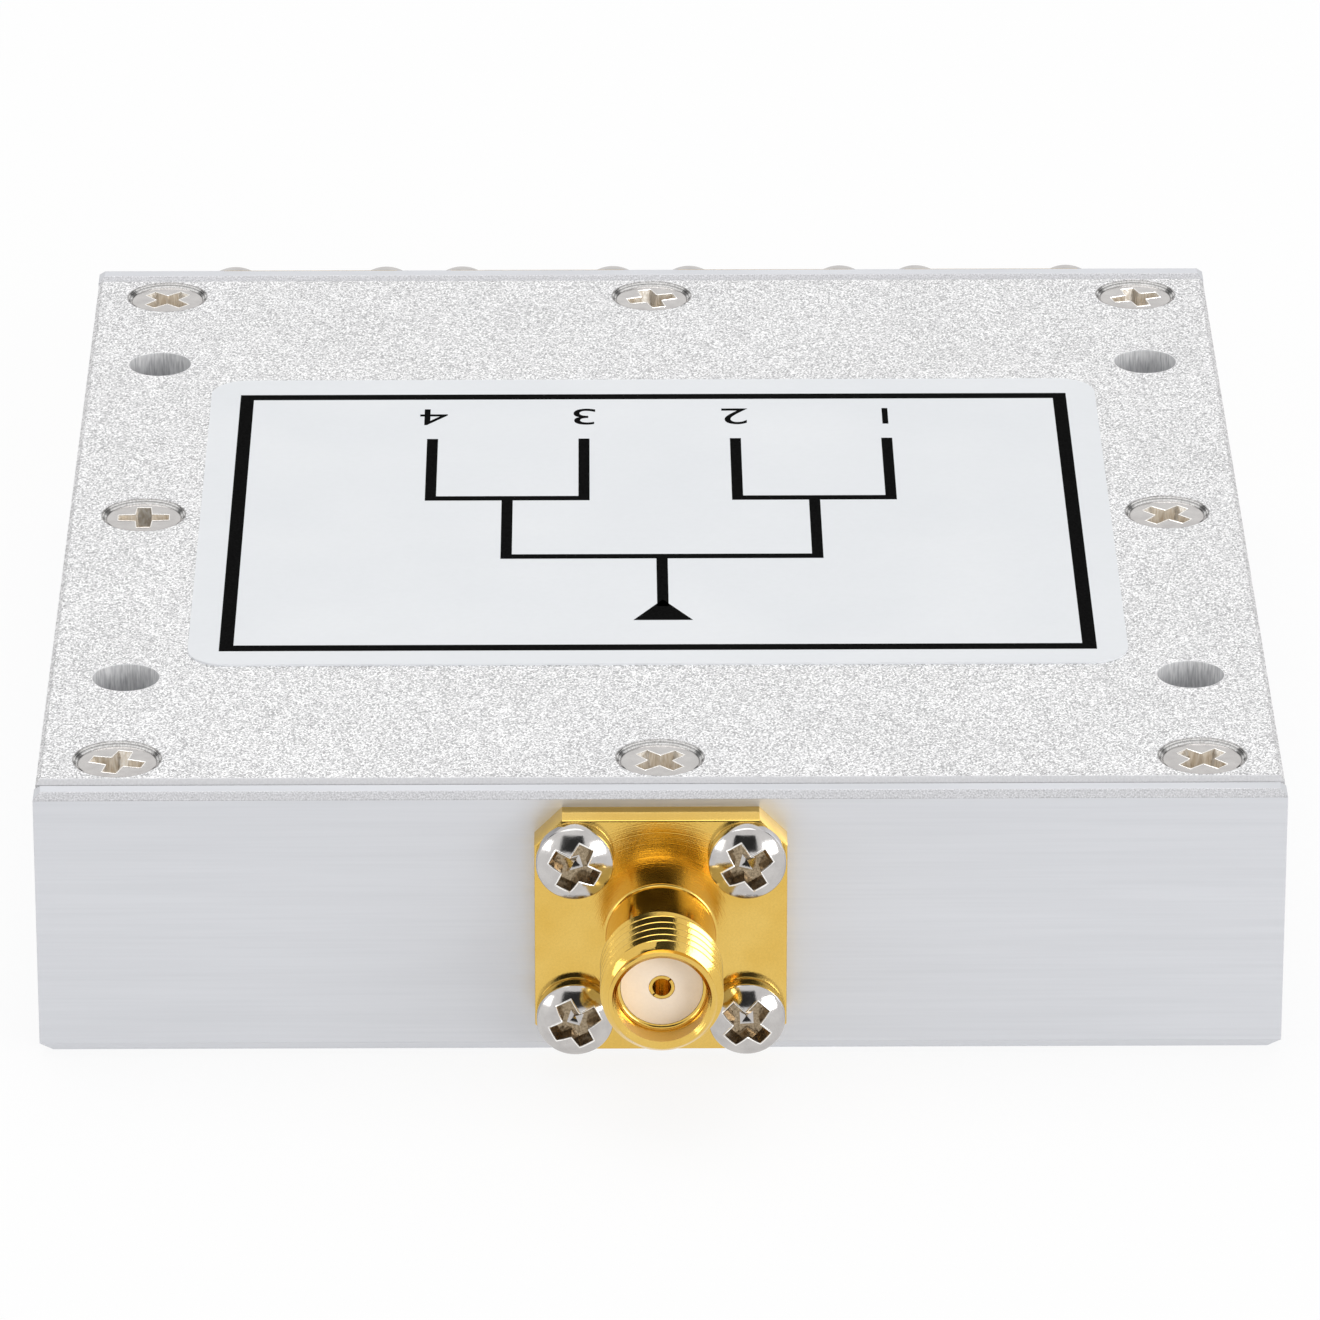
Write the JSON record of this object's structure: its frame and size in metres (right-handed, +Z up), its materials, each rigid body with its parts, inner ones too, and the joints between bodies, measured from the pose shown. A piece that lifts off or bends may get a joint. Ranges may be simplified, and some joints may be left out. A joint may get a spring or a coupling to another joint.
{
  "type": "rf power splitter",
  "caption": "Flat coaxial power splitter: milled metal case with a screwed cover and a label, a square-flange threaded socket on the front face and a row of outputs on the back.",
  "frame": {"origin": "centre of the base", "axes": "+Z up out of the cover, +Y towards the row of outputs, the input on the -Y face"},
  "size_m": [0.063, 0.091, 0.0146],
  "materials": {
    "milled_aluminium": "fine horizontal milling lines, clear conversion coat",
    "blasted_aluminium": "fine bead blast",
    "nickel_plate": "bright nickel plate on steel",
    "label_film": "printed satin film",
    "laminate": "glass-filled laminate",
    "copper": "bare etched copper",
    "chip_ceramic": "coated chip",
    "tin_solder": "bright solder",
    "gold_plate": "bright gold plate on brass",
    "ptfe": "waxy white PTFE"
  },
  "bodies": {
    "root": {"housing": "milled_aluminium", "cover": "blasted_aluminium", "cover_screws": "nickel_plate", "label": "label_film", "circuit_board": "laminate", "circuit_traces": "copper", "isolation_resistors": "chip_ceramic", "board_screws": "nickel_plate", "solder_joints": "tin_solder", "input_shell": "gold_plate", "input_dielectric": "ptfe", "input_contact": "gold_plate", "output_1_shell": "gold_plate", "output_1_dielectric": "ptfe", "output_1_contact": "gold_plate", "output_2_shell": "gold_plate", "output_2_dielectric": "ptfe", "output_2_contact": "gold_plate", "output_3_shell": "gold_plate", "output_3_dielectric": "ptfe", "output_3_contact": "gold_plate", "output_4_shell": "gold_plate", "output_4_dielectric": "ptfe", "output_4_contact": "gold_plate", "flange_screws": "nickel_plate"}
  },
  "joints": []
}
